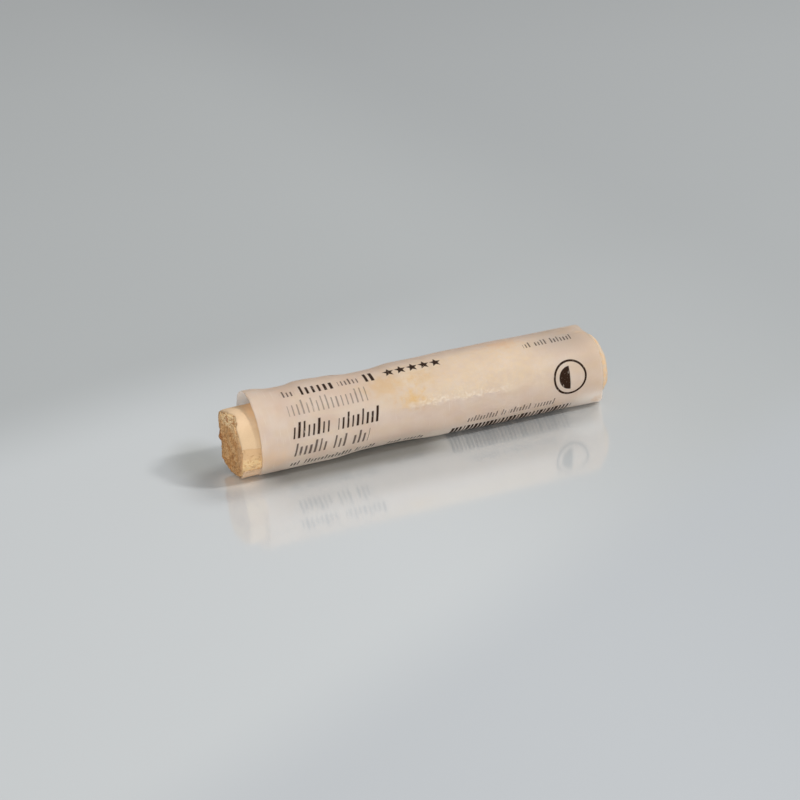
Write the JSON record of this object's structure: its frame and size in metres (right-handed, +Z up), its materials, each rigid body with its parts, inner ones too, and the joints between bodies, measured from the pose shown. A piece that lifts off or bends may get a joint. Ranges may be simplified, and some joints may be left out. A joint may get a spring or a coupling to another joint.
{
  "type": "soft pastel stick in a paper label",
  "caption": "Round soft pastel stick with a crumbled broken end, lying in a loose rolled translucent paper label.",
  "frame": {"origin": "bottom centre of the bounding box, on the surface that the roll rests on", "axes": "+X along the stick towards its worn end, with the broken end at -X; +Z up; -Y is the side that the print faces"},
  "size_m": [0.062, 0.0128, 0.0126],
  "materials": {
    "pastel": "matte",
    "label_paper": "matte"
  },
  "bodies": {
    "root": {"pastel_stick": "pastel", "paper_wrapper": "label_paper"}
  },
  "joints": []
}
